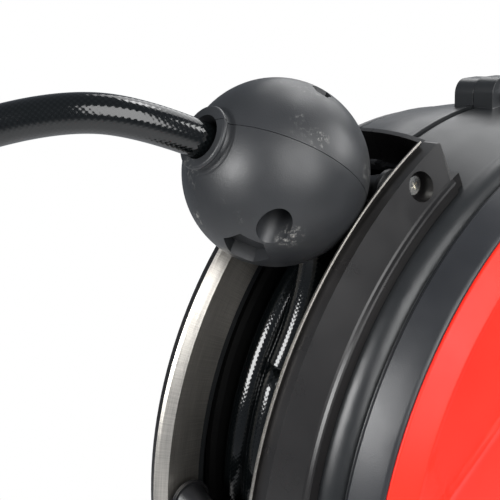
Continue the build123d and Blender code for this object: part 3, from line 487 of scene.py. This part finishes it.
def dome_x(radius):
    """Height of the plain dome between the raised line and the hub dish."""
    lean = (DOME_R - radius) / (DOME_R - DISH_R)
    return DOME_X + DOME_RISE * (1 - (1 - lean) ** 1.5)


def blade_edge(x, y):
    """Signed distance out from the nearest blade's edge."""
    distances = []
    for k in range(BLADES):
        a = math.radians(BLADE_TURN + 360.0 * k / BLADES)
        distances.append(x * math.cos(a) + y * math.sin(a) - BLADE_EDGE_AT)
    return min(distances, key=abs)


def blade_height(radius, degrees):
    """How far the nearest blade's ridge lifts the dome here."""
    a = math.radians(degrees)
    out = blade_edge(radius * math.cos(a), radius * math.sin(a))
    if out >= 0:
        return RIDGE * max(0.0, 1 - out / RIDGE_OUTER)
    return RIDGE * max(0.0, 1 + out / RIDGE_INNER)


DOME_RINGS = 90
SPOKES = 360


def side_cover(name, sign, hole):
    """Domed cover with slanting facets pressed into it, a raised line near its edge and a hub dish."""
    dome = [DOME_R + (DISH_R - DOME_R) * i / DOME_RINGS for i in range(1, DOME_RINGS + 1)]
    hole_edge = [(0.0950, hole + 0.0006), (0.0946, hole), (0.0916, hole)]
    profile = RIM_OUTLINE + [(dome_x(r), r) for r in dome] + DISH_OUTLINE + hole_edge + INSIDE_OUTLINE
    first_dome, last_dome = len(RIM_OUTLINE), len(RIM_OUTLINE) + DOME_RINGS
    points, faces = [], []
    for i, (x, r) in enumerate(profile):
        for k in range(SPOKES):
            angle = 360.0 * k / SPOKES
            lift = blade_height(r, angle) if first_dome <= i < last_dome else 0.0
            points.append(round_case((x + lift) * sign, r, angle))
    rings = len(profile)
    for i in range(rings):
        j = (i + 1) % rings
        for k in range(SPOKES):
            n = (k + 1) % SPOKES
            quad = (i * SPOKES + k, i * SPOKES + n, j * SPOKES + n, j * SPOKES + k)
            faces.append(quad if sign > 0 else quad[::-1])
    return piece(name, points, faces, "case", "cover_red")


for name, sign, hole in (("cover_right", 1, 0.004), ("cover_left", -1, 0.019)):
    cover = side_cover(name, sign, hole)
    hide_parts("side_" + name)

# ---------------------------------------------------------------- light and floor
FLOOR_Z = -1.0
FLOOR_HALF = 12.0
scene = bpy.context.scene
scene.view_settings.view_transform = "Standard"
world = bpy.data.worlds.new("studio")
scene.world = world
world.use_nodes = True
tree = world.node_tree
surround = tree.nodes["Background"]
surround.inputs["Color"].default_value = (0.80, 0.88, 1.0, 1)
surround.inputs["Strength"].default_value = 0.24
clear = node(tree, "Background", {"Color": (1, 1, 1, 1), "Strength": 1.0})
seen = node(tree, "LightPath").outputs["Is Camera Ray"]
choice = node(tree, "MixShader", {0: seen, 1: surround.outputs[0], 2: clear.outputs[0]})
tree.links.new(choice.outputs[0], tree.nodes["World Output"].inputs["Surface"])

floor_mesh = bpy.data.meshes.new("floor")
corners = [(-1, -1), (1, -1), (1, 1), (-1, 1)]
floor_mesh.from_pydata([(x * FLOOR_HALF, y * FLOOR_HALF, FLOOR_Z) for x, y in corners], [], [(0, 1, 2, 3)])
floor = bpy.data.objects.new("floor", floor_mesh)
scene.collection.objects.link(floor)
material, tree, shader = blank("floor_white")
shader.inputs["Base Color"].default_value = (0.92, 0.92, 0.92, 1)
shader.inputs["Roughness"].default_value = 0.9
glow = node(tree, "Emission", {"Color": (1, 1, 1, 1), "Strength": 1.0})
seen = node(tree, "LightPath").outputs["Is Camera Ray"]
choice = node(tree, "MixShader", {0: seen, 1: shader.outputs[0], 2: glow.outputs[0]})
tree.links.new(choice.outputs[0], tree.nodes["Material Output"].inputs["Surface"])
floor_mesh.materials.append(material)


LIGHT_AIM = CASE_AT + Vector((0, -0.12, 0.12))  # just inside the slot


def softbox(name, direction, distance, size, watts):
    """Square area light that faces the slot; direction is (right, up, back) of the camera."""
    lamp = bpy.data.lights.new(name, "AREA")
    lamp.size = size
    lamp.energy = watts
    obj = bpy.data.objects.new(name, lamp)
    way = (right * direction[0] + up * direction[1] + back * direction[2]).normalized()
    obj.location = LIGHT_AIM + way * distance
    obj.rotation_euler = way.to_track_quat("Z", "Y").to_euler()
    scene.collection.objects.link(obj)


softbox("key_left", (-0.78, 0.10, 0.62), 1.4, 0.60, 18)
softbox("top_back", (0.30, 0.90, -0.45), 1.6, 1.3, 12)
softbox("hose_glint", (0.25, 0.95, -0.10), 1.5, 0.35, 2.6)
softbox("side_right", (0.85, 0.45, 0.10), 1.5, 0.7, 12)
softbox("front_fill", (0.45, 0.20, 1.0), 1.9, 1.6, 46)
